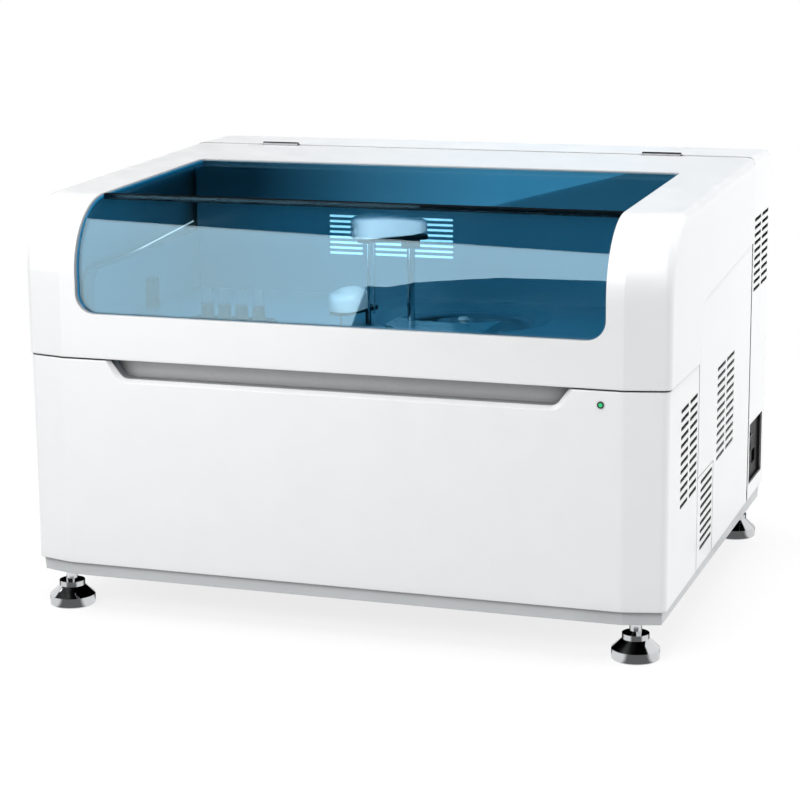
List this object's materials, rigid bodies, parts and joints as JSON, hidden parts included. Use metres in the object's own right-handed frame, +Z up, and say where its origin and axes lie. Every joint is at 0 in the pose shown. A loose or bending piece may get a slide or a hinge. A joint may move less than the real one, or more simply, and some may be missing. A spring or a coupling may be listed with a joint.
{
  "type": "benchtop chemistry analyzer",
  "caption": "Benchtop clinical chemistry analyzer: boxy case on levelling feet under a hinged lid with a tinted window, with rotors, tube rack, sampling arm and mixer inside.",
  "frame": {"origin": "on the bench, below the middle of the case", "axes": "+X to the operator's right, +Y to the back, +Z up"},
  "size_m": [0.88, 0.7042, 0.5815],
  "materials": {
    "case_plastic": "satin moulded plastic",
    "lid_plastic": "satin moulded plastic",
    "case_paint": "fine satin powder coat",
    "tray_paint": "grey powder coat",
    "tub_plastic": "smooth wipe-clean plastic",
    "window_tint": "blue tinted clear acrylic",
    "clear_cover": "clear acrylic",
    "tube_glass": "clear glass",
    "seal_rubber": "matt black",
    "black_plastic": "fine-grained black",
    "switch_plastic": "smooth black",
    "lamp_green": "translucent green, lit",
    "foot_steel": "turned and polished steel",
    "hinge_metal": "satin",
    "steel": "ground and brushed",
    "polished_steel": "polished",
    "frame_steel": "plain welded section",
    "light_panel": "evenly lit white diffuser",
    "arm_white": "satin moulded plastic",
    "rotor_black": "black anodised",
    "bottle_plastic": "natural translucent plastic",
    "bowl_metal": "satin anodised",
    "fitting_plastic": "blue-grey nylon",
    "board": "green laminate with dark parts",
    "motor_black": "black enamel",
    "supply_metal": "pressed sheet"
  },
  "bodies": {
    "chassis": {"base_tray": "tray_paint", "inner_frame": "frame_steel", "front_cover": "case_plastic", "side_panel_left": "case_paint", "side_panel_right": "case_paint", "filter_grilles": "case_plastic", "rear_cover": "case_plastic", "rear_panel": "case_paint", "rear_fittings": "fitting_plastic", "deck_liner": "tub_plastic", "deck_cheeks": "tub_plastic", "rack_well": "tub_plastic", "louvre_light": "light_panel", "hinge_bases": "hinge_metal", "hinge_pins": "steel", "guide_brackets": "case_paint", "case_screws": "steel", "status_lamp": "lamp_green", "lamp_bezel": "black_plastic", "inlet_housing": "black_plastic", "reagent_bowl": "bowl_metal", "reaction_bath": "bowl_metal", "rotor_motors": "motor_black", "arm_platform": "arm_white", "column_guides": "steel", "syringe_barrel": "tube_glass", "power_supply": "supply_metal", "control_board": "board", "fan_frame": "black_plastic", "fluid_pump": "motor_black"},
    "lid": {"lid_shell": "lid_plastic", "window_front": "window_tint", "window_top": "window_tint", "window_strip": "seal_rubber", "hinge_wings": "hinge_metal"},
    "power_switch": {"power_switch": "switch_plastic"},
    "sample_rack": {"tube_rack": "black_plastic", "sample_tubes": "tube_glass"},
    "reagent_tray": {"reagent_tray": "black_plastic", "reagent_bottles": "bottle_plastic"},
    "reagent_cover": {"reagent_cover": "clear_cover", "cover_knob": "arm_white"},
    "reaction_rotor": {"reaction_rotor": "rotor_black", "cuvettes": "clear_cover"},
    "probe_lift": {"probe_carriage": "bowl_metal"},
    "probe_arm": {"probe_column": "polished_steel", "probe_head": "arm_white", "probe_base": "black_plastic", "probe_needles": "polished_steel"},
    "mixer_lift": {"mixer_carriage": "bowl_metal"},
    "mixer_arm": {"mixer_plate": "black_plastic", "mixer_hood": "arm_white"},
    "mixer_paddle": {"mixer_paddle": "steel"},
    "wash_lift": {"wash_head": "black_plastic"},
    "syringe_plunger": {"syringe_plunger": "steel"},
    "fan_rotor": {"fan_rotor": "black_plastic"},
    "foot_front_left": {"foot_front_left": "foot_steel"},
    "foot_front_right": {"foot_front_right": "foot_steel"},
    "foot_rear_left": {"foot_rear_left": "foot_steel"},
    "foot_rear_right": {"foot_rear_right": "foot_steel"}
  },
  "joints": [
    {"name": "lid_hinge", "type": "hinge", "parent": "chassis", "child": "lid", "pos_m": [0, 0.235, 0.577], "axis": [-1, 0, 0], "range_deg": [0, 75]},
    {"name": "power_rocker", "type": "hinge", "parent": "chassis", "child": "power_switch", "pos_m": [0.427, 0.257, 0.153], "axis": [0, -1, 0], "range_deg": [0, 22]},
    {"name": "rack_lift_out", "type": "slide", "parent": "chassis", "child": "sample_rack", "axis": [0, 0, 1], "range_m": [0, 0.08]},
    {"name": "reagent_spin", "type": "hinge", "parent": "chassis", "child": "reagent_tray", "pos_m": [0.054, 0.045, 0.25], "axis": [0, 0, 1], "continuous": true},
    {"name": "cover_lift_off", "type": "slide", "parent": "chassis", "child": "reagent_cover", "axis": [0, 0, 1], "range_m": [0, 0.03]},
    {"name": "reaction_spin", "type": "hinge", "parent": "chassis", "child": "reaction_rotor", "pos_m": [-0.08, -0.178, 0.33], "axis": [0, 0, 1], "continuous": true},
    {"name": "probe_raise", "type": "slide", "parent": "chassis", "child": "probe_lift", "axis": [0, 0, 1], "range_m": [-0.045, 0.025]},
    {"name": "probe_swing", "type": "hinge", "parent": "probe_lift", "child": "probe_arm", "pos_m": [0.011, -0.06, 0.4], "axis": [0, 0, 1], "range_deg": [0, 215]},
    {"name": "mixer_raise", "type": "slide", "parent": "chassis", "child": "mixer_lift", "axis": [0, 0, 1], "range_m": [-0.018, 0.03]},
    {"name": "mixer_swing", "type": "hinge", "parent": "mixer_lift", "child": "mixer_arm", "pos_m": [-0.062, -0.034, 0.35], "axis": [0, 0, -1], "range_deg": [0, 60]},
    {"name": "paddle_spin", "type": "hinge", "parent": "mixer_arm", "child": "mixer_paddle", "pos_m": [-0.08314, -0.08805, 0.36], "axis": [0, 0, 1], "continuous": true},
    {"name": "wash_raise", "type": "slide", "parent": "chassis", "child": "wash_lift", "axis": [0, 0, 1], "range_m": [-0.007, 0.015]},
    {"name": "syringe_stroke", "type": "slide", "parent": "chassis", "child": "syringe_plunger", "axis": [0, 0, 1], "range_m": [-0.035, 0.03]},
    {"name": "fan_spin", "type": "hinge", "parent": "chassis", "child": "fan_rotor", "pos_m": [-0.24, 0.332, 0.25], "axis": [0, 1, 0], "continuous": true},
    {"name": "foot_front_left_screw", "type": "slide", "parent": "chassis", "child": "foot_front_left", "axis": [0, 0, 1], "range_m": [0, 0.012]},
    {"name": "foot_front_right_screw", "type": "slide", "parent": "chassis", "child": "foot_front_right", "axis": [0, 0, 1], "range_m": [0, 0.012]},
    {"name": "foot_rear_left_screw", "type": "slide", "parent": "chassis", "child": "foot_rear_left", "axis": [0, 0, 1], "range_m": [0, 0.012]},
    {"name": "foot_rear_right_screw", "type": "slide", "parent": "chassis", "child": "foot_rear_right", "axis": [0, 0, 1], "range_m": [0, 0.012]}
  ]
}
